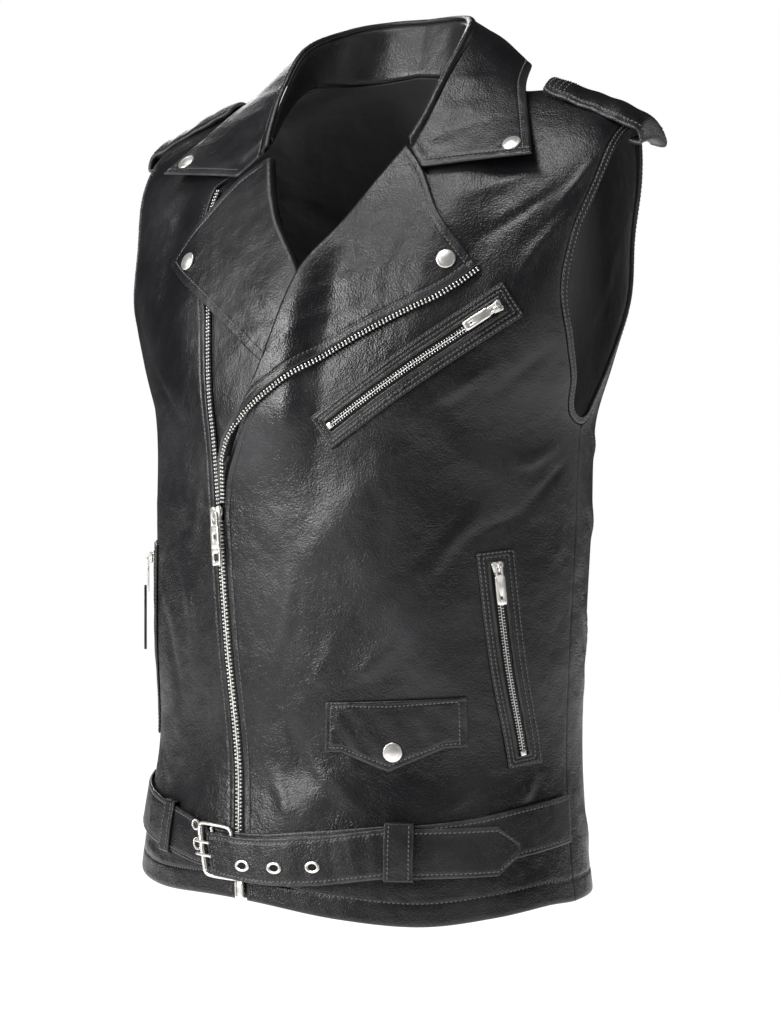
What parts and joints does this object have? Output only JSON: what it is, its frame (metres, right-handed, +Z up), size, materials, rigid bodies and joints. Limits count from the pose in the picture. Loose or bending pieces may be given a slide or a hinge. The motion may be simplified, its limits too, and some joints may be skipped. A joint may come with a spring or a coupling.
{
  "type": "sleeveless biker vest",
  "caption": "Worn-shape leather biker vest: notched collar, wide lapels, slanted front zip, zip pockets, flap pocket, epaulettes and a buckled hem belt.",
  "frame": {"origin": "midway between the neck ends of the shoulder seams, 30 mm in front of the shoulder line, where the wearer's shoulders hold it", "axes": "+Z up along the body, +X to the wearer's left, -Y to the front"},
  "size_m": [0.4808, 0.2822, 0.7039],
  "materials": {
    "leather": "black lambskin, soft sheen, fine grain",
    "tape": "black woven zip tape",
    "teeth": "bright nickel zip teeth",
    "nickel": "polished nickel"
  },
  "bodies": {
    "vest": {"armhole_binding_left": "leather", "armhole_binding_right": "leather", "back": "leather", "belt_left": "leather", "belt_loop_front": "leather", "belt_loop_right": "leather", "belt_right": "leather", "buckle_bar": "nickel", "buckle_frame": "nickel", "buckle_prong_lower": "nickel", "buckle_prong_upper": "nickel", "chest_pocket_slider": "nickel", "chest_pocket_welt": "leather", "chest_pocket_zip": "teeth", "coin_flap": "leather", "collar_fall": "leather", "collar_stand": "leather", "epaulette_left": "leather", "epaulette_right": "leather", "eyelet_1": "nickel", "eyelet_2": "nickel", "eyelet_3": "nickel", "front_left": "leather", "front_right": "leather", "lapel_left": "leather", "lapel_right": "leather", "main_slider": "nickel", "pocket_left_slider": "nickel", "pocket_left_welt": "leather", "pocket_left_zip": "teeth", "pocket_right_slider": "nickel", "pocket_right_welt": "leather", "pocket_right_zip": "teeth", "stud_collar_left": "nickel", "stud_collar_right": "nickel", "stud_flap": "nickel", "stud_lapel_left": "nickel", "stud_lapel_right": "nickel", "underlap_right": "leather", "zip_box": "nickel", "zip_chain_left": "teeth", "zip_chain_open_left": "teeth", "zip_chain_open_right": "teeth", "zip_chain_right": "teeth", "zip_tape_left": "tape", "zip_tape_right": "tape"},
    "main_tab": {"main_pull": "nickel"},
    "chest_tab": {"chest_pocket_pull": "nickel"},
    "left_tab": {"pocket_left_pull": "nickel"},
    "right_tab": {"pocket_right_pull": "nickel", "pocket_right_puller": "leather"}
  },
  "joints": [
    {"name": "main_tab_hinge", "type": "hinge", "parent": "vest", "child": "main_tab", "pos_m": [-0.05424, -0.13528, -0.34441], "axis": [-0.9767, 0.169, -0.1325], "range_deg": [0, 75]},
    {"name": "chest_tab_hinge", "type": "hinge", "parent": "vest", "child": "chest_tab", "pos_m": [0.17187, -0.08247, -0.18685], "axis": [-0.5511, -0.1199, 0.8258], "range_deg": [0, 75]},
    {"name": "left_tab_hinge", "type": "hinge", "parent": "vest", "child": "left_tab", "pos_m": [0.16963, -0.07686, -0.3799], "axis": [-0.6321, -0.7676, -0.1058], "range_deg": [0, 75]},
    {"name": "right_tab_hinge", "type": "hinge", "parent": "vest", "child": "right_tab", "pos_m": [-0.16805, -0.0788, -0.38681], "axis": [-0.6461, 0.7586, 0.0839], "range_deg": [0, 75]}
  ]
}
